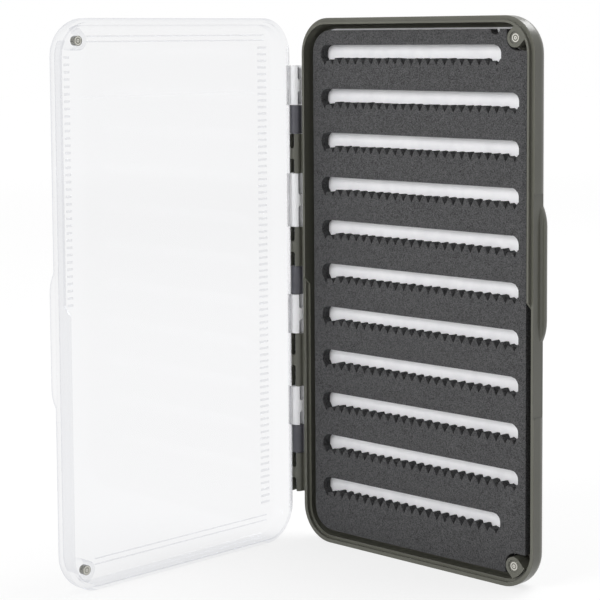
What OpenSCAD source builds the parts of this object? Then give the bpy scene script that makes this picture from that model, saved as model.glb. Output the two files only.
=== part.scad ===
// Slim fly box that opens like a book, in millimetres.
// Both halves are the same moulding, the lid turned end for end.
// Z runs up the hinge side, the base opens toward -Y and the lid stands open at the left.
// Each half is first laid on its back: X across, Y along the hinge, Z = 0 on the parting plane.

/* [Case] */
// Height of the case, along the hinge
case_h = 186; // [150:1:230]
// Width of each half, without the hinge
case_w = 103; // [84:1:130]
// Depth of each half, from the parting plane to its back
half_depth = 7.5; // [7:0.1:11]
// Radius of the four corners of the outline
corner_r = 12.4; // [11:0.1:18]
// Rounding between the side walls and the back
back_fillet = 4.2; // [2:0.1:5]
// Thickness of the side walls
wall = 2.2; // [2:0.1:3]
// Thickness of the back wall
back_t = 1.4; // [1:0.1:2]
// Rounding where the walls meet the back inside
inner_fillet = 1.5; // [0.5:0.1:2]
// How far each rim stays below the parting plane
rim_gap = 0.1; // [0.05:0.05:0.3]
// Angle between the halves as modelled
open_angle = 90; // [0:5:180]

/* [Interlocking rim] */
// Width of the outer land of the rim
rim_land = 1.3; // [1:0.1:1.5]
// Height of the raised lip above the parting plane
lip_h = 1.2; // [0.6:0.1:2]
// How much deeper the rebate is than the lip is high
lip_end_gap = 0.2; // [0.1:0.05:0.5]
// Side clearance between lip and rebate
lip_gap = 0.15; // [0.1:0.05:0.3]

/* [Finger grip] */
// Length of the shallow hollow in the free side
grip_len = 72.4; // [55:0.1:90]
// Depth of the shallow hollow
grip_d = 0.36; // [0.1:0.02:0.5]
// Length of the straight part of the finger flange
flange_len = 30.4; // [15:0.1:40]
// How far the middle of the flange lies toward the far end
flange_shift = 10.2; // [0:0.05:12]
// How far the flange stands out from the side
flange_out = 1.1; // [0.8:0.05:2]
// Radius in which the flange runs out at both ends
flange_end_r = 15; // [10:0.5:25]
// Distance of the flange below the parting plane
flange_drop = 4; // [1:0.1:4]
// Distance of the flange above the back
flange_rise = 0.5; // [0.3:0.1:0.8]
// Largest rounding of the outer back edge of the flange
flange_r = 2.4; // [1:0.1:3]
// Rounding of the outer front edge of the flange
flange_edge_r = 0.3; // [0.1:0.1:0.5]
// Radius of the cove between the flange and the side
flange_cove_r = 0.8; // [0.3:0.1:1]

/* [Hinge] */
// Distance of the hinge axis from the side wall
hinge_offset = 3; // [2.8:0.1:4]
// Outer diameter of knuckles and sleeves
knuckle_d = 4.6; // [3.6:0.1:4.8]
// Diameter of the hinge pin
pin_d = 2; // [1.2:0.1:2.2]
// Clearance round the pin
pin_gap = 0.05; // [0.02:0.01:0.1]
// Free space between neighbours on the pin
knuckle_gap = 0.15; // [0.1:0.05:0.6]
// Length set aside for each sleeve
sleeve_pitch = 10.15; // [6:0.05:14]
// Length set aside for each short knuckle
short_pitch = 14.05; // [10:0.05:18]
// Length set aside for each long knuckle
long_pitch = 19.13; // [14:0.05:24]
// Length of the closed bridge over the middle of a knuckle
bridge_len = 3.6; // [2:0.1:5]
// Thickness of the arm from a knuckle to the side wall
arm_t = 2; // [1.2:0.1:2.6]
// Distance of the arms below the parting plane
arm_drop = 0.3; // [0.2:0.05:0.6]
// How far the pin stays inside the outermost knuckles
pin_recess = 0.8; // [0.2:0.1:2]

/* [Magnets] */
// Diameter of the magnets
magnet_d = 3.2; // [2:0.1:3.8]
// Thickness of the magnets
magnet_t = 2; // [1:0.1:3]
// Side clearance of a magnet in its pocket
magnet_gap = 0.05; // [0.02:0.01:0.15]
// Diameter of the bosses that hold the magnets
boss_d = 6.2; // [5.6:0.1:7]
// Distance of the boss centres from the free side
boss_from_side = 8.2; // [7:0.05:10]
// Distance of the boss centres from the ends
boss_from_end = 7.2; // [6.5:0.05:10]
// Distance of the boss tops below the parting plane
boss_drop = 0.15; // [0.1:0.05:0.5]
// Width of the step round each pocket
pocket_step = 0.4; // [0.2:0.05:0.5]
// Depth of the step round each pocket
pocket_step_d = 0.3; // [0.1:0.05:0.6]

/* [Foam] */
// Thickness of the slotted foam
foam_t = 3.5; // [2:0.1:3.6]
// Thickness of the white backing
backing_t = 1.2; // [0.6:0.1:1.6]
// Thickness of the adhesive under foam, backing and magnets
glue_t = 0.1; // [0.05:0.05:0.2]
// Rounding of the foam corners at the hinge side
foam_r = 8; // [4:0.5:9]
// Space from the inner rounding to the foam at the hinge side
foam_gap_hinge = 0.8; // [0.2:0.05:2]
// Space from the inner rounding to the foam at the free side
foam_gap_free = 0.45; // [0.2:0.05:2]
// Space from the inner rounding to the foam at the ends
foam_gap_end = 0.6; // [0.6:0.05:2]
// Space between a boss and the cut-out round it
foam_gap_boss = 1; // [0.3:0.1:2]
// How far the backing shows past the foam at the upper end
backing_reach = 0.55; // [0:0.05:0.55]

/* [Foam slots] */
// Distance between two slots
slot_pitch = 15.33; // [12:0.01:20]
// Distance of the first slot from the upper edge of the foam
first_slot = 5.1; // [4:0.1:10]
// Least foam left below the last slot
last_slot_rest = 10; // [8:0.5:14]
// Open height of a slot, down to the tips of its teeth
slot_h = 4.5; // [3:0.05:7]
// Rounding of the two upper corners of a slot
slot_r = 2.8; // [0.5:0.1:2.8]
// Distance of the slots from the foam edge at the hinge side
slot_start = 3.9; // [3:0.1:8]
// Least foam left beside the slots at the free side
slot_side_rest = 3; // [2:0.1:6]
// Distance between two teeth
tooth_pitch = 3.65; // [2.5:0.05:6]
// Width of the flat tip of a tooth
tooth_tip = 0.95; // [0.5:0.05:2]
// Depth of the notches between the teeth
tooth_d = 2.4; // [1:0.05:3]
// Straight piece at each end of a row of teeth
tooth_end = 0.35; // [0.2:0.05:1]
// Notches fewer in the first and last slot, beside the bosses
short_row_less = 2; // [2:1:4]

/* [Hidden] */
$fn = 64;

// Overlap that makes two shapes one solid
weld = 0.5;
half_w = case_w / 2;
half_h = case_h / 2;
inner_back_z = back_t - half_depth;
rebate_d = lip_h + lip_end_gap;
hinge_x = -half_w - hinge_offset;
// The end face is flat from the rim to the back rounding, and the origin is in its middle
parting_y = -(rim_gap + half_depth - back_fillet) / 2;
bore_d = pin_d + 2 * pin_gap;
boss_x = half_w - boss_from_side;
boss_y = half_h - boss_from_end;
flange_t = half_depth - flange_drop - flange_rise;

// Ends of the places along the pin, from the middle outward
place_1 = sleeve_pitch / 2;
place_2 = place_1 + short_pitch;
place_3 = place_2 + long_pitch;
place_4 = place_3 + short_pitch;
place_5 = place_4 + sleeve_pitch;
place_6 = place_5 + short_pitch;
knuckle_places = [
    [place_1, place_2],
    [place_3, place_4],
    [-place_3, -place_2],
    [-place_6, -place_5]
];

backing_bottom = inner_back_z + glue_t;
foam_bottom = backing_bottom + backing_t + glue_t;
foam_x0 = -half_w + wall + inner_fillet + foam_gap_hinge;
foam_x1 = half_w - wall - inner_fillet - foam_gap_free;
foam_y0 = -half_h + wall + inner_fillet + foam_gap_end;
foam_y1 = -foam_y0;
slot_count = 1 + floor((foam_y1 - foam_y0 - first_slot - slot_h - tooth_d - last_slot_rest) / slot_pitch);
slot_room = foam_x1 - foam_x0 - slot_start - slot_side_rest;
teeth_full = floor((slot_room + tooth_tip - 2 * tooth_end) / tooth_pitch);

magnet_top = -boss_drop - pocket_step_d;
magnet_bottom = magnet_top - magnet_t;

// Rectangle with rounded corners, centred
module rounded_rect(w, h, r) {
    square([w - 2 * r, h], center = true);
    square([w, h - 2 * r], center = true);
    for (x = [-1, 1], y = [-1, 1])
        translate([x * (w / 2 - r), y * (h / 2 - r)])
            circle(r);
}

// Outline of the case, moved inward by a distance
module outline(inset) {
    rounded_rect(case_w - 2 * inset, case_h - 2 * inset, corner_r - inset);
}

// Upright section of a dish, rounded at its two lower corners
module dish_section(w, depth, fillet) {
    translate([-w / 2, fillet])
        square([w, depth - fillet]);
    translate([fillet - w / 2, 0])
        square([w - 2 * fillet, depth]);
    for (x = [-1, 1])
        translate([x * (w / 2 - fillet), fillet])
            circle(fillet);
}

// Right half of such a section, to be turned into a corner
module corner_section(r, depth, fillet) {
    translate([0, fillet])
        square([r, depth - fillet]);
    square([r - fillet, depth]);
    translate([r - fillet, fillet])
        intersection() {
            circle(fillet);
            translate([0, -fillet])
                square(fillet);
        }
}

// Dish with rounded corners and a rounded lower edge, standing on Z = 0
module dish(w, h, corner, depth, fillet) {
    rotate([90, 0, 0])
        linear_extrude(h - 2 * corner, center = true)
            dish_section(w, depth, fillet);
    rotate([90, 0, 90])
        linear_extrude(w - 2 * corner, center = true)
            dish_section(h, depth, fillet);
    for (x = [-1, 1], y = [-1, 1])
        translate([x * (w / 2 - corner), y * (h / 2 - corner), 0])
            rotate_extrude()
                corner_section(corner, depth, fillet);
}

// Shape seen from the side and pulled across the whole width
module across(extra = 1) {
    rotate([90, 0, 90])
        linear_extrude(case_w + 2 * extra, center = true)
            children();
}

// Band that follows the rim between two insets
module rim_band(outer_inset, inner_inset, z0, z1) {
    translate([0, 0, z0])
        linear_extrude(z1 - z0)
            difference() {
                outline(outer_inset);
                outline(inner_inset);
            }
}

// Rebate of one end half of the rim, with a slope at mid-height
module rim_rebate() {
    intersection() {
        rim_band(rim_land, wall + lip_gap, -rebate_d, lip_h);
        across()
            polygon([
                [-half_h, -rebate_d],
                [lip_gap - rebate_d, -rebate_d],
                [lip_gap + lip_h, lip_h],
                [-half_h, lip_h]
            ]);
    }
}

// Lip of the other end half of the rim, with the matching slope
module rim_lip() {
    intersection() {
        rim_band(rim_land + lip_gap, wall, -rebate_d, lip_h);
        across()
            polygon([
                [half_h, -rebate_d],
                [lip_gap - rebate_d, -rebate_d],
                [lip_gap + lip_h, lip_h],
                [half_h, lip_h]
            ]);
    }
}

// Outside of a half, with the shallow hollow at the free side
module case_block() {
    difference() {
        translate([0, 0, -half_depth])
            dish(case_w, case_h, corner_r, half_depth - rim_gap, back_fillet);
        translate([half_w - grip_d, -grip_len / 2, -half_depth])
            cube([wall, grip_len, half_depth]);
    }
}

// Upright section of the flange, measured outward from the axis of its ends
module flange_section() {
    back_r = min(flange_r, flange_t - 2 * flange_edge_r);
    intersection() {
        corner_section(flange_end_r, flange_t, back_r);
        translate([0, flange_t])
            mirror([0, 1])
                corner_section(flange_end_r, flange_t, flange_edge_r);
    }
}

// Outline of the flange seen from the front, straight with two round ends
module flange_outline() {
    translate([0, -flange_len / 2])
        square([flange_end_r, flange_len]);
    for (y = [-flange_len / 2, flange_len / 2])
        translate([0, y])
            circle(flange_end_r);
}

// Cove that leads from the side of the case into the front of the flange
module flange_cove() {
    side = flange_end_r - flange_out - grip_d;
    intersection() {
        linear_extrude(flange_t + flange_cove_r)
            flange_outline();
        rotate([90, 0, 0])
            linear_extrude(flange_len + flange_end_r, center = true)
                difference() {
                    translate([side - weld, flange_t - weld])
                        square(flange_cove_r + weld);
                    translate([side + flange_cove_r, flange_t + flange_cove_r])
                        circle(flange_cove_r);
                }
    }
}

// Finger flange on the free side, rounded at the back and running out at both ends
module finger_flange() {
    translate([half_w + flange_out - flange_end_r, flange_shift, flange_rise - half_depth]) {
        rotate([90, 0, 0])
            linear_extrude(flange_len, center = true)
                flange_section();
        for (s = [0, 1])
            mirror([0, s, 0])
                translate([0, flange_len / 2, 0])
                    rotate_extrude(angle = 90)
                        flange_section();
        flange_cove();
    }
}

// Slot with one round end, from y = 0 to y = len
module window(len, z0, z1) {
    translate([0, 0, z0])
        linear_extrude(z1 - z0) {
            translate([-bore_d / 2, -1])
                square([bore_d, len - bore_d / 2 + 1]);
            translate([0, len - bore_d / 2])
                circle(d = bore_d);
        }
}

// One knuckle between two places on the axis.
// Its ends are open toward the inside and its middle toward the back,
// so that the whole barrel can be moulded without side cores.
module knuckle(y0, y1) {
    len = y1 - y0 - knuckle_gap;
    end_len = (len - bridge_len) / 2;
    translate([hinge_x, (y0 + y1) / 2, 0])
        difference() {
            union() {
                rotate([90, 0, 0])
                    cylinder(d = knuckle_d, h = len, center = true);
                translate([0, -len / 2, -arm_drop - arm_t])
                    cube([hinge_offset + weld, len, arm_t]);
            }
            rotate([90, 0, 0])
                cylinder(d = bore_d, h = len + 2, center = true);
            for (s = [0, 1])
                mirror([0, s, 0])
                    translate([0, -len / 2, 0])
                        window(end_len, 0, knuckle_d);
            translate([-bore_d / 2, -bridge_len / 2, -knuckle_d])
                cube([bore_d, bridge_len, knuckle_d]);
        }
}

// Boss for a magnet, joined to the corner wall by a web as wide as itself
module magnet_boss() {
    height = -boss_drop - inner_back_z + weld;
    translate([0, 0, inner_back_z - weld])
        linear_extrude(height)
            intersection() {
                union() {
                    circle(d = boss_d);
                    rotate(45)
                        translate([0, -boss_d / 2])
                            square([corner_r, boss_d]);
                }
                translate([-boss_x, -boss_y])
                    outline(rim_land);
            }
}

// Pocket for a magnet, with a shallow step round its mouth
module magnet_pocket() {
    pocket_d = magnet_d + 2 * magnet_gap;
    translate([0, 0, magnet_bottom - glue_t])
        cylinder(d = pocket_d, h = half_depth);
    translate([0, 0, magnet_top])
        cylinder(d = pocket_d + 2 * pocket_step, h = half_depth);
}

// Puts a shape at both corners of the free side
module at_corners() {
    for (s = [0, 1])
        mirror([0, s, 0])
            translate([boss_x, boss_y, 0])
                children();
}

// The moulding that serves as base and as lid
module half_shell() {
    difference() {
        union() {
            difference() {
                union() {
                    case_block();
                    finger_flange();
                }
                translate([0, 0, inner_back_z])
                    dish(case_w - 2 * wall, case_h - 2 * wall, corner_r - wall, half_depth, inner_fillet);
            }
            at_corners()
                magnet_boss();
            for (p = knuckle_places)
                knuckle(p[0], p[1]);
        }
        at_corners()
            magnet_pocket();
        rim_rebate();
    }
    rim_lip();
}

// Magnet in one corner, seated in its pocket
module magnet(y) {
    translate([boss_x, y, magnet_bottom])
        cylinder(d = magnet_d, h = magnet_t);
}

// Outline of foam and backing: round at the hinge side, cut out round the bosses
module sheet_outline(reach) {
    cut = boss_d / 2 + foam_gap_boss;
    difference() {
        union() {
            translate([foam_x0, foam_y0 + foam_r])
                square([foam_x1 - foam_x0, foam_y1 - foam_y0 - 2 * foam_r + reach]);
            translate([foam_x0 + foam_r, foam_y0])
                square([foam_x1 - foam_x0 - foam_r, foam_y1 - foam_y0 + reach]);
            for (y = [foam_y0 + foam_r, foam_y1 - foam_r + reach])
                translate([foam_x0 + foam_r, y])
                    circle(foam_r);
        }
        for (s = [0, 1])
            mirror([0, s])
                translate([boss_x, boss_y]) {
                    circle(cut);
                    translate([-cut, 0])
                        square([case_w, case_h]);
                    translate([0, -cut])
                        square([case_w, case_h]);
                }
    }
}

// One slot, hanging from y = 0, with a row of notches in its lower edge
module slot(teeth) {
    len = teeth * tooth_pitch - tooth_tip + 2 * tooth_end;
    notch_w = tooth_pitch - tooth_tip;
    translate([slot_r, -slot_r])
        square([len - 2 * slot_r, slot_r]);
    for (x = [slot_r, len - slot_r])
        translate([x, -slot_r])
            circle(slot_r);
    polygon([
        [0, -slot_r],
        [0, -slot_h],
        for (i = [0 : teeth - 1], p = [[0, 0], [0.5, -tooth_d], [1, 0]])
            [tooth_end + i * tooth_pitch + p[0] * notch_w, p[1] - slot_h],
        [len, -slot_h],
        [len, -slot_r]
    ]);
}

// Moves a half from its back to where the base stands
module stand() {
    translate([0, parting_y, half_h])
        rotate([90, 0, 0])
            children();
}

// Lays the second half over the first and swings it open about the hinge
module swing() {
    stand()
        translate([hinge_x, 0, 0])
            rotate([0, -open_angle, 0])
                translate([-hinge_x, 0, 0])
                    rotate([180, 0, 0])
                        children();
}

module base_shell() {
    color([0.40, 0.40, 0.36])
        stand()
            half_shell();
}

module lid_shell() {
    color([0.90, 0.93, 0.95, 0.4])
        swing()
            half_shell();
}

module slit_foam() {
    color([0.28, 0.28, 0.29])
        stand()
            translate([0, 0, foam_bottom])
                linear_extrude(foam_t)
                    difference() {
                        sheet_outline(0);
                        for (i = [0 : slot_count - 1])
                            translate([foam_x0 + slot_start, foam_y1 - first_slot - i * slot_pitch])
                                slot(i == 0 || i == slot_count - 1 ? teeth_full - short_row_less : teeth_full);
                    }
}

module foam_backing() {
    color([0.93, 0.93, 0.94])
        stand()
            translate([0, 0, backing_bottom])
                linear_extrude(backing_t)
                    sheet_outline(backing_reach);
}

module base_magnet_upper() {
    color([0.75, 0.75, 0.72])
        stand()
            magnet(boss_y);
}

module base_magnet_lower() {
    color([0.75, 0.75, 0.72])
        stand()
            magnet(-boss_y);
}

// The lid is turned over, so its upper magnet is at the far end of the moulding
module lid_magnet_upper() {
    color([0.75, 0.75, 0.72])
        swing()
            magnet(-boss_y);
}

module lid_magnet_lower() {
    color([0.75, 0.75, 0.72])
        swing()
            magnet(boss_y);
}

module hinge_pin() {
    color([0.70, 0.71, 0.73])
        stand()
            translate([hinge_x, 0, 0])
                rotate([90, 0, 0])
                    cylinder(d = pin_d, h = 2 * (place_6 - pin_recess), center = true);
}

// Plain sleeve that fills a place where neither half has a knuckle
module sleeve(y) {
    color([0.30, 0.30, 0.33])
        stand()
            translate([hinge_x, y, 0])
                rotate([90, 0, 0])
                    difference() {
                        cylinder(d = knuckle_d, h = sleeve_pitch - knuckle_gap, center = true);
                        cylinder(d = bore_d, h = sleeve_pitch, center = true);
                    }
}

module hinge_sleeve_upper() {
    sleeve((place_4 + place_5) / 2);
}

module hinge_sleeve_middle() {
    sleeve(0);
}

module hinge_sleeve_lower() {
    sleeve(-(place_4 + place_5) / 2);
}

base_shell();
lid_shell();
slit_foam();
foam_backing();
base_magnet_upper();
base_magnet_lower();
lid_magnet_upper();
lid_magnet_lower();
hinge_pin();
hinge_sleeve_upper();
hinge_sleeve_middle();
hinge_sleeve_lower();
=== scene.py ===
"""Looks for the slim fly box: camera, floor, light, plastics, steel, foam and its backing."""

import math

import bpy
from mathutils import Matrix, Vector, noise


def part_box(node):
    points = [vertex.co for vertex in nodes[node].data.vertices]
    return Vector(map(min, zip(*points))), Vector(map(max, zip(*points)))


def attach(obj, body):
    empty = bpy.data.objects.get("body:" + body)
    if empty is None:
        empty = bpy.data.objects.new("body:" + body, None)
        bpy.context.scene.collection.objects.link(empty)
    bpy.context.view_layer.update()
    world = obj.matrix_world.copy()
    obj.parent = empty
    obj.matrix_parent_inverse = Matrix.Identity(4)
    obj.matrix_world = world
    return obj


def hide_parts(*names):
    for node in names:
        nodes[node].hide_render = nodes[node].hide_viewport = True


MM = 0.001
# The hinge axis, the height of the case and the lid's edge beside the hinge, in millimetres
HINGE_X, HINGE_Y = -54.5, -1.7
CASE_HEIGHT = 186.0
LID_EDGE_Y = -4.7

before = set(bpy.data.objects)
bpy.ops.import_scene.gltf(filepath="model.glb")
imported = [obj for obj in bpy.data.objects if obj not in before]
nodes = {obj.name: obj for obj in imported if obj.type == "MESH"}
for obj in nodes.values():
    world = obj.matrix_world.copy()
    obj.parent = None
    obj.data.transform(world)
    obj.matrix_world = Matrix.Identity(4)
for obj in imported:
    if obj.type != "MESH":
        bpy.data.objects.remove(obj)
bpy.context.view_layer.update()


# ---------------------------------------------------------------- small helpers


def only(obj):
    """Makes obj the one selected and active object."""
    bpy.ops.object.select_all(action="DESELECT")
    obj.select_set(True)
    bpy.context.view_layer.objects.active = obj


def apply_modifiers(obj):
    """Turns all of an object's modifiers into mesh."""
    only(obj)
    for modifier in list(obj.modifiers):
        bpy.ops.object.modifier_apply(modifier=modifier.name)


def new_finish(name):
    """An empty material with its main shader and output."""
    finish = bpy.data.materials.new(name)
    finish.use_nodes = True
    tree = finish.node_tree
    return finish, tree, tree.nodes["Principled BSDF"]


def place_on_piece(tree):
    """Coordinates fixed to the piece, in metres."""
    return tree.nodes.new("ShaderNodeTexCoord").outputs["Object"]


def grain(tree, where, size_mm, detail=2.0, rough=0.5):
    """Noise whose blobs are about size_mm across."""
    blobs = tree.nodes.new("ShaderNodeTexNoise")
    blobs.inputs["Scale"].default_value = 1.0 / (size_mm * MM)
    blobs.inputs["Detail"].default_value = detail
    blobs.inputs["Roughness"].default_value = rough
    tree.links.new(where, blobs.inputs["Vector"])
    return blobs.outputs["Fac"]


def plug(tree, value, socket):
    """Sets a socket from a number or from another node's output."""
    if isinstance(value, (int, float)):
        socket.default_value = value
    else:
        tree.links.new(value, socket)


def sum_step(tree, operation, *values):
    """One arithmetic node on numbers or outputs."""
    step = tree.nodes.new("ShaderNodeMath")
    step.operation = operation
    for value, socket in zip(values, step.inputs):
        plug(tree, value, socket)
    return step.outputs[0]


def vector_step(tree, operation, first, second=None):
    """One vector node on an output and, where it has one, a fixed vector."""
    step = tree.nodes.new("ShaderNodeVectorMath")
    step.operation = operation
    tree.links.new(first, step.inputs[0])
    if second is not None:
        step.inputs[1].default_value = second
    return step.outputs["Value" if operation in ("LENGTH", "DOT_PRODUCT") else "Vector"]


def distance_from(tree, where, centre, across):
    """Distance from an axis through centre, measured in the directions that across marks with 1."""
    offset = vector_step(tree, "SUBTRACT", where, centre)
    return vector_step(tree, "LENGTH", vector_step(tree, "MULTIPLY", offset, across))


def mixed(tree, share, first, second):
    """Two shaders in one: share 0 is the first and 1 the second."""
    both = tree.nodes.new("ShaderNodeMixShader")
    plug(tree, share, both.inputs["Fac"])
    tree.links.new(first, both.inputs[1])
    tree.links.new(second, both.inputs[2])
    return both.outputs[0]


def spread(tree, value, low, high, from_low=0.3, from_high=0.7):
    """Maps a value to a range, as given for a noise's middle part."""
    span = tree.nodes.new("ShaderNodeMapRange")
    span.inputs["From Min"].default_value = from_low
    span.inputs["From Max"].default_value = from_high
    span.inputs["To Min"].default_value = low
    span.inputs["To Max"].default_value = high
    tree.links.new(value, span.inputs["Value"])
    return span.outputs["Result"]


def two_tone(tree, value, dark, light, low=0.3, high=0.7):
    """Blends two colours by a noise value."""
    ramp = tree.nodes.new("ShaderNodeValToRGB")
    ramp.color_ramp.elements[0].position = low
    ramp.color_ramp.elements[0].color = (*dark, 1.0)
    ramp.color_ramp.elements[1].position = high
    ramp.color_ramp.elements[1].color = (*light, 1.0)
    tree.links.new(value, ramp.inputs["Fac"])
    return ramp.outputs["Color"]


def relief(tree, height, depth_mm, strength, under=None):
    """Bump of a given depth, over an optional normal."""
    bump = tree.nodes.new("ShaderNodeBump")
    bump.inputs["Strength"].default_value = strength
    bump.inputs["Distance"].default_value = depth_mm * MM
    tree.links.new(height, bump.inputs["Height"])
    if under is not None:
        tree.links.new(under, bump.inputs["Normal"])
    return bump.outputs["Normal"]


def softened_edges(tree, radius_mm):
    """Normal that rounds sharp moulded edges."""
    bevel = tree.nodes.new("ShaderNodeBevel")
    bevel.samples = 6
    bevel.inputs["Radius"].default_value = radius_mm * MM
    return bevel.outputs["Normal"]


# ---------------------------------------------------------------- finishes


def olive_plastic():
    """Opaque satin moulding with a fine eroded grain and slightly rubbed edges."""
    finish, tree, shader = new_finish("olive_plastic")
    where = place_on_piece(tree)
    clouds = grain(tree, where, 24, 3)
    fine = grain(tree, where, 0.35, 3, 0.6)
    colour = two_tone(tree, clouds, (0.096, 0.096, 0.076), (0.108, 0.108, 0.088))
    tree.links.new(colour, shader.inputs["Base Color"])
    satin = spread(tree, grain(tree, where, 2.5, 3), 0.275, 0.29)
    tree.links.new(satin, shader.inputs["Roughness"])
    rounded = softened_edges(tree, 0.22)
    tree.links.new(relief(tree, fine, 0.02, 0.35, rounded), shader.inputs["Normal"])
    shader.inputs["IOR"].default_value = 1.5
    return finish


def clear_plastic(through_tint=(0.963, 0.964, 0.968)):
    """Water-clear moulding: what is behind shows through, and its faces mirror more at a slant.

    Round the pin the thick knuckles are painted white, a painted stand-in for the white surroundings
    seen through the clear plastic, with a little light let through.
    """
    finish, tree, shader = new_finish("clear_plastic")
    where = place_on_piece(tree)
    shader.inputs["Base Color"].default_value = (0.60, 0.62, 0.67, 1)
    shader.inputs["Metallic"].default_value = 1.0
    polish = spread(tree, grain(tree, where, 9, 5), 0.03, 0.10)
    tree.links.new(polish, shader.inputs["Roughness"])

    slant = tree.nodes.new("ShaderNodeLayerWeight")
    slant.inputs["Blend"].default_value = 0.5
    steep = sum_step(tree, "POWER", slant.outputs["Facing"], 4.0)
    through = tree.nodes.new("ShaderNodeBsdfTransparent")
    through.inputs["Color"].default_value = (*through_tint, 1)
    mirrored = spread(tree, steep, 0.008, 0.85, 0.0, 1.0)
    walls = mixed(tree, mirrored, through.outputs[0], shader.outputs[0])

    # Painted light: near-white colour on the knuckles in place of the white surroundings seen
    # through the thick clear plastic
    painted_white = tree.nodes.new("ShaderNodeBsdfPrincipled")
    painted_white.inputs["Base Color"].default_value = (0.98, 0.98, 0.99, 1)
    painted_white.inputs["Roughness"].default_value = 0.25
    lit_through = tree.nodes.new("ShaderNodeBsdfTranslucent")
    lit_through.inputs["Color"].default_value = (0.97, 0.97, 0.97, 1)
    knuckles = mixed(tree, 0.08, painted_white.outputs[0], lit_through.outputs[0])

    from_pin = distance_from(tree, where, (HINGE_X * MM, HINGE_Y * MM, 0), (1, 1, 0))
    at_knuckle = spread(tree, from_pin, 0.93, 0.0, 2.9 * MM, 3.6 * MM)
    whole = mixed(tree, at_knuckle, walls, knuckles)
    tree.links.new(whole, tree.nodes["Material Output"].inputs["Surface"])
    return finish


def dark_sleeve_plastic():
    """Bluish-black tube, a little uneven in its gloss."""
    finish, tree, shader = new_finish("dark_sleeve_plastic")
    where = place_on_piece(tree)
    clouds = grain(tree, where, 3, 3)
    colour = two_tone(tree, clouds, (0.062, 0.062, 0.074), (0.080, 0.080, 0.095))
    tree.links.new(colour, shader.inputs["Base Color"])
    gloss = spread(tree, grain(tree, where, 1.5, 3), 0.30, 0.42)
    tree.links.new(gloss, shader.inputs["Roughness"])
    fine = grain(tree, where, 0.3, 2)
    rounded = softened_edges(tree, 0.15)
    tree.links.new(relief(tree, fine, 0.01, 0.3, rounded), shader.inputs["Normal"])
    return finish


def drawn_steel():
    """Bright wire with fine lines along it."""
    finish, tree, shader = new_finish("drawn_steel")
    where = place_on_piece(tree)
    stretch = tree.nodes.new("ShaderNodeMapping")
    stretch.inputs["Scale"].default_value = (1, 1, 0.04)
    tree.links.new(where, stretch.inputs["Vector"])
    lines = grain(tree, stretch.outputs["Vector"], 0.12, 3, 0.6)
    colour = two_tone(tree, lines, (0.30, 0.305, 0.32), (0.44, 0.445, 0.46))
    tree.links.new(colour, shader.inputs["Base Color"])
    shader.inputs["Metallic"].default_value = 1.0
    tree.links.new(spread(tree, lines, 0.22, 0.34), shader.inputs["Roughness"])
    return finish


def plated_magnet(centre, along):
    """Nickel-plated disc with faint turned rings round its axis, and light and dark rings painted in
    its colour as painted ring highlights.
    """
    finish, tree, shader = new_finish("plated_magnet")
    where = place_on_piece(tree)
    across = (0, 1, 1) if along == "x" else (1, 0, 1)
    ring_pitch = 0.8 * MM
    from_axis = distance_from(tree, where, centre, across)
    turns = sum_step(tree, "MULTIPLY_ADD", from_axis, 2 * math.pi / ring_pitch, -math.pi / 2)
    ring_relief_and_highlight = sum_step(tree, "SINE", turns)
    # Painted highlights: the colour swings from a dark tone to a light one ring by ring, in place of
    # ring highlights on the plated face
    colour = two_tone(tree, ring_relief_and_highlight, (0.26, 0.255, 0.225), (0.72, 0.71, 0.655), 0.0, 0.9)
    tree.links.new(colour, shader.inputs["Base Color"])
    shader.inputs["Metallic"].default_value = 1.0
    polish = spread(tree, grain(tree, where, 0.3, 3), 0.08, 0.16)
    tree.links.new(polish, shader.inputs["Roughness"])
    rounded = softened_edges(tree, 0.12)
    tree.links.new(relief(tree, ring_relief_and_highlight, 0.01, 0.5, rounded), shader.inputs["Normal"])
    return finish


def dark_foam():
    """Fine closed-cell foam: charcoal grey with small cut cells."""
    finish, tree, shader = new_finish("dark_foam")
    where = place_on_piece(tree)
    cells = tree.nodes.new("ShaderNodeTexVoronoi")
    cells.feature = "F1"
    cells.inputs["Scale"].default_value = 1.0 / (0.45 * MM)
    tree.links.new(where, cells.inputs["Vector"])
    speck = grain(tree, where, 0.42, 4, 0.75)
    patches = grain(tree, where, 1.1, 3, 0.65)
    mottle = sum_step(
        tree, "MULTIPLY_ADD", speck, 0.8, sum_step(tree, "MULTIPLY", patches, 0.2)
    )
    colour = two_tone(
        tree, mottle, (0.020, 0.020, 0.021), (0.103, 0.103, 0.105), 0.38, 0.62
    )
    tree.links.new(colour, shader.inputs["Base Color"])
    shader.inputs["Roughness"].default_value = 0.92
    shader.inputs["Specular IOR Level"].default_value = 0.25
    pits = relief(tree, cells.outputs["Distance"], 0.12, 0.55)
    tree.links.new(relief(tree, speck, 0.10, 0.5, pits), shader.inputs["Normal"])
    return finish


def white_foam():
    """Smooth white foam sheet."""
    finish, tree, shader = new_finish("white_foam")
    where = place_on_piece(tree)
    speck = grain(tree, where, 0.4, 3, 0.6)
    colour = two_tone(tree, grain(tree, where, 5, 4), (0.83, 0.83, 0.85), (0.90, 0.90, 0.915))
    tree.links.new(colour, shader.inputs["Base Color"])
    shader.inputs["Roughness"].default_value = 0.7
    tree.links.new(relief(tree, speck, 0.04, 0.3), shader.inputs["Normal"])
    return finish


# ---------------------------------------------------------------- camera and surroundings


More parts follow.
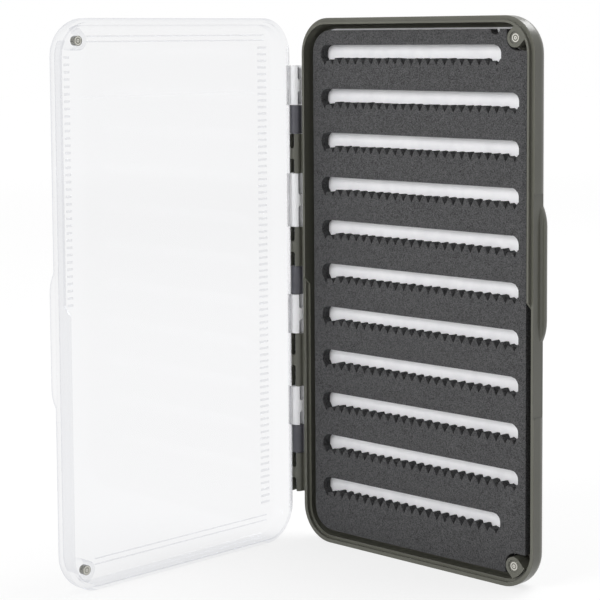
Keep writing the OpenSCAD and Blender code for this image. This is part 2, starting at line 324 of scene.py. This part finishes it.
def photo_camera():
    """The photograph's viewpoint: in front and to the right, above the middle, slightly down."""
    place = Vector((419.595, -483.087, 180.064)) * MM
    yaw, pitch, roll = (math.radians(angle) for angle in (44.455, 4.923, 0.395))
    level = Vector((-math.sin(yaw), math.cos(yaw), 0))
    look = level * math.cos(pitch) - Vector((0, 0, math.sin(pitch)))
    right = Vector((math.cos(yaw), math.sin(yaw), 0))
    up = right.cross(look)
    right_rolled = math.cos(roll) * right - math.sin(roll) * up
    up_rolled = math.sin(roll) * right + math.cos(roll) * up
    bpy.ops.object.camera_add()
    camera = bpy.context.active_object
    camera.name = "photo_camera"
    turn = Matrix((right_rolled, up_rolled, -look)).transposed().to_4x4()
    camera.matrix_world = Matrix.Translation(place) @ turn
    camera.data.sensor_width = 36
    camera.data.lens = 114.186
    camera.data.shift_y = -0.1681
    camera.data.clip_start = 0.02
    camera.data.clip_end = 20
    bpy.context.scene.camera = camera


def seen(tree):
    """1 for rays from the eye, through glass and by mirrors, 0 for light."""
    path = tree.nodes.new("ShaderNodeLightPath")
    share = path.outputs["Is Camera Ray"]
    for kind in ("Is Transmission Ray", "Is Glossy Ray"):
        share = sum_step(tree, "MAXIMUM", share, path.outputs[kind])
    return share


def white_surroundings():
    """White where it is seen; as light, bright from the left and behind and dim on the right."""
    world = bpy.data.worlds.new("studio")
    bpy.context.scene.world = world
    world.use_nodes = True
    tree = world.node_tree
    back = tree.nodes["Background"]
    back.inputs["Color"].default_value = (1, 1, 1, 1)
    direction = tree.nodes.new("ShaderNodeTexCoord").outputs["Generated"]
    to_the_right = vector_step(tree, "DOT_PRODUCT", direction, (0.97, -0.25, 0.0))
    light = spread(tree, to_the_right, 0.62, 0.05, -0.3, 0.5)
    pick = tree.nodes.new("ShaderNodeMix")
    tree.links.new(seen(tree), pick.inputs["Factor"])
    tree.links.new(light, pick.inputs["A"])
    pick.inputs["B"].default_value = 1.0
    tree.links.new(pick.outputs["Result"], back.inputs["Strength"])


def floor_finish():
    """Pale floor: white where it is seen, still with the shadow, and one with the surroundings."""
    finish, tree, shader = new_finish("pale_floor")
    where = place_on_piece(tree)
    share = seen(tree)
    clouds = grain(tree, where, 40, 3)
    colour = two_tone(tree, clouds, (0.88, 0.88, 0.88), (0.90, 0.90, 0.90))
    pale = tree.nodes.new("ShaderNodeMix")
    pale.data_type = "RGBA"
    tree.links.new(share, pale.inputs["Factor"])
    tree.links.new(colour, pale.inputs["A"])
    pale.inputs["B"].default_value = (0.20, 0.20, 0.20, 1)
    tree.links.new(pale.outputs["Result"], shader.inputs["Base Color"])
    shader.inputs["Roughness"].default_value = 0.9
    shader.inputs["Specular IOR Level"].default_value = 0.1
    shader.inputs["Emission Color"].default_value = (1, 1, 1, 1)
    from_box = vector_step(tree, "LENGTH", where)
    glow = sum_step(tree, "MULTIPLY", spread(tree, from_box, 0.762, 0.885, 0.25, 2.0), share)
    tree.links.new(glow, shader.inputs["Emission Strength"])
    return finish


def pale_floor():
    """A wide floor under the box."""
    bpy.ops.object.select_all(action="DESELECT")
    bpy.ops.mesh.primitive_plane_add(size=8)
    floor = bpy.context.active_object
    floor.name = "floor"
    floor.data.materials.append(floor_finish())


def soft_lamp(name, place, target, size, power):
    """A square panel of light that looks at a target; size in metres, power in watts."""
    bpy.ops.object.light_add(type="AREA")
    lamp = bpy.context.active_object
    lamp.name = name
    lamp.data.shape = "RECTANGLE"
    lamp.data.size = lamp.data.size_y = size
    lamp.data.energy = power
    lamp.location = place
    lamp.rotation_mode = "QUATERNION"
    lamp.rotation_quaternion = (Vector(target) - Vector(place)).to_track_quat("-Z", "Y")


# ---------------------------------------------------------------- soft pieces


def copy_of_solid(node, name):
    """A new piece from a CAD solid, its loose triangles merged into clean faces."""
    piece = bpy.data.objects.new(name, nodes[node].data.copy())
    bpy.context.scene.collection.objects.link(piece)
    piece.data.materials.clear()
    only(piece)
    bpy.ops.object.mode_set(mode="EDIT")
    bpy.ops.mesh.select_all(action="SELECT")
    bpy.ops.mesh.remove_doubles(threshold=0.002 * MM)
    bpy.ops.mesh.customdata_custom_splitnormals_clear()
    bpy.ops.mesh.dissolve_limited(angle_limit=math.radians(1))
    bpy.ops.object.mode_set(mode="OBJECT")
    return piece


def rounded_edges(piece, radius_mm, segments):
    """Rounds a piece's sharp edges and shades it smooth between them."""
    edge = piece.modifiers.new("soft_edge", "BEVEL")
    edge.width = radius_mm * MM
    edge.segments = segments
    edge.limit_method = "ANGLE"
    edge.angle_limit = math.radians(35)
    edge.use_clamp_overlap = True
    apply_modifiers(piece)
    only(piece)
    bpy.ops.object.shade_smooth_by_angle(angle=math.radians(40))


def uneven_teeth(foam):
    """Moves the corners of the teeth a little, but not the ends of the slots or the outline."""
    slots_z, long_slots_z = (12, 178), (28, 166)
    first_x, last_x, last_x_of_short = -42.6, 43.7, 36.4
    wander, most = 1.4 * MM, 0.28 * MM
    # Without a seed of its own the noise differs from run to run
    noise.seed_set(5)
    for corner in foam.data.vertices:
        x, z = corner.co.x / MM, corner.co.z / MM
        in_long_slot = long_slots_z[0] < z < long_slots_z[1]
        end_x = last_x if in_long_slot else last_x_of_short
        if slots_z[0] < z < slots_z[1] and first_x < x < end_x:
            astray = noise.noise_vector(corner.co / wander) * most
            corner.co.x += astray.x
            corner.co.z += astray.z


def slotted_foam():
    """The dark sheet: a nick in its upper edge, soft cut edges and slightly uneven teeth."""
    foam = copy_of_solid("slit_foam", "slotted_foam")
    low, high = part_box("slit_foam")
    nick_x, nick_radius, nick_depth = 34.5, 1.9, 12
    bpy.ops.mesh.primitive_cylinder_add(
        vertices=32,
        radius=nick_radius * MM,
        depth=nick_depth * MM,
        location=(nick_x * MM, (low[1] + high[1]) / 2, high[2]),
        rotation=(math.radians(90), 0, 0),
    )
    punch = bpy.context.active_object
    nick = foam.modifiers.new("nick", "BOOLEAN")
    nick.operation = "DIFFERENCE"
    nick.object = punch
    apply_modifiers(foam)
    bpy.data.objects.remove(punch)
    rounded_edges(foam, 0.18, 2)
    # Split into triangles first, because a large face with moved corners can split wrongly
    foam.modifiers.new("plain_triangles", "TRIANGULATE")
    apply_modifiers(foam)
    uneven_teeth(foam)
    foam.data.materials.append(dark_foam())
    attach(foam, "base")
    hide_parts("slit_foam")


def white_backing():
    """The white sheet under the foam, its edges slightly rounded."""
    backing = copy_of_solid("foam_backing", "white_backing")
    rounded_edges(backing, 0.15, 2)
    backing.data.materials.append(white_foam())
    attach(backing, "base")
    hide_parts("foam_backing")


# ---------------------------------------------------------------- border inside the lid


def border_places():
    """Each ridge and bar of the border, in millimetres: across from the lid's edge, then along Z."""
    ridge, ridge_end = 0.42, 87.0
    places = [(7.5, ridge_end, z, z + ridge) for z in (6.3, 8.2)]
    places += [
        (7.0, ridge_end, CASE_HEIGHT - z, CASE_HEIGHT - z + ridge) for z in (7.75, 6.0)
    ]
    half_bar, bar_pitch = 0.4, 2.33
    for near, far, first, last in ((5.9, 10.0, 13.2, 175.8), (94.2, 96.4, 93.5, 173.5)):
        count = round((last - first) / bar_pitch)
        for i in range(count + 1):
            middle = first + i * (last - first) / count
            places.append((near, far, middle - half_bar, middle + half_bar))
    return places


def lid_border():
    """Low frame inside the lid: two ridges along each end and short bars along each side."""
    foot, crest = -60.65, -60.3
    border = bpy.data.objects.new("lid_border", bpy.data.meshes.new("lid_border"))
    bpy.context.scene.collection.objects.link(border)
    only(border)
    bpy.ops.object.mode_set(mode="EDIT")
    for near, far, bottom, top in border_places():
        low = Vector((foot, LID_EDGE_Y - far, bottom)) * MM
        high = Vector((crest, LID_EDGE_Y - near, top)) * MM
        bpy.ops.mesh.primitive_cube_add(
            size=1, calc_uvs=False, location=(low + high) / 2, scale=high - low
        )
    bpy.ops.object.mode_set(mode="OBJECT")
    soft = border.modifiers.new("soft_edge", "BEVEL")
    soft.width = 0.12 * MM
    soft.segments = 2
    apply_modifiers(border)
    bpy.ops.object.shade_smooth_by_angle(angle=math.radians(50))
    border.data.materials.append(clear_plastic((0.945, 0.947, 0.953)))
    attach(border, "lid")


# ---------------------------------------------------------------- the whole box


def dress(node, finish):
    """Gives a CAD node's mesh one finish."""
    mesh = nodes[node].data
    if not mesh.materials:
        mesh.materials.append(finish)
    for i in range(len(mesh.materials)):
        mesh.materials[i] = finish


photo_camera()
white_surroundings()
pale_floor()
soft_lamp("key_from_front", (-0.15, -1.25, 0.6), (0, 0, 0.08), 0.7, 12)
soft_lamp("top_from_behind", (0.25, 0.35, 1.2), (0, 0, 0.1), 0.7, 8)
soft_lamp("edge_from_behind", (0.0, 0.85, 0.95), (0.05, 0, 0.17), 0.5, 4)

slotted_foam()
white_backing()
lid_border()

dress("base_shell", olive_plastic())
dress("lid_shell", clear_plastic())
dress("hinge_pin", drawn_steel())
sleeve_finish = dark_sleeve_plastic()
for where_on_pin in ("upper", "middle", "lower"):
    dress("hinge_sleeve_" + where_on_pin, sleeve_finish)
for half, along in (("base", "y"), ("lid", "x")):
    for end in ("upper", "lower"):
        magnet = half + "_magnet_" + end
        low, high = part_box(magnet)
        dress(magnet, plated_magnet((low + high) / 2, along))

bpy.context.scene.view_settings.view_transform = "Standard"
cycles = bpy.context.scene.cycles
cycles.max_bounces = 32
cycles.glossy_bounces = 24
cycles.transmission_bounces = 32
cycles.transparent_max_bounces = 24
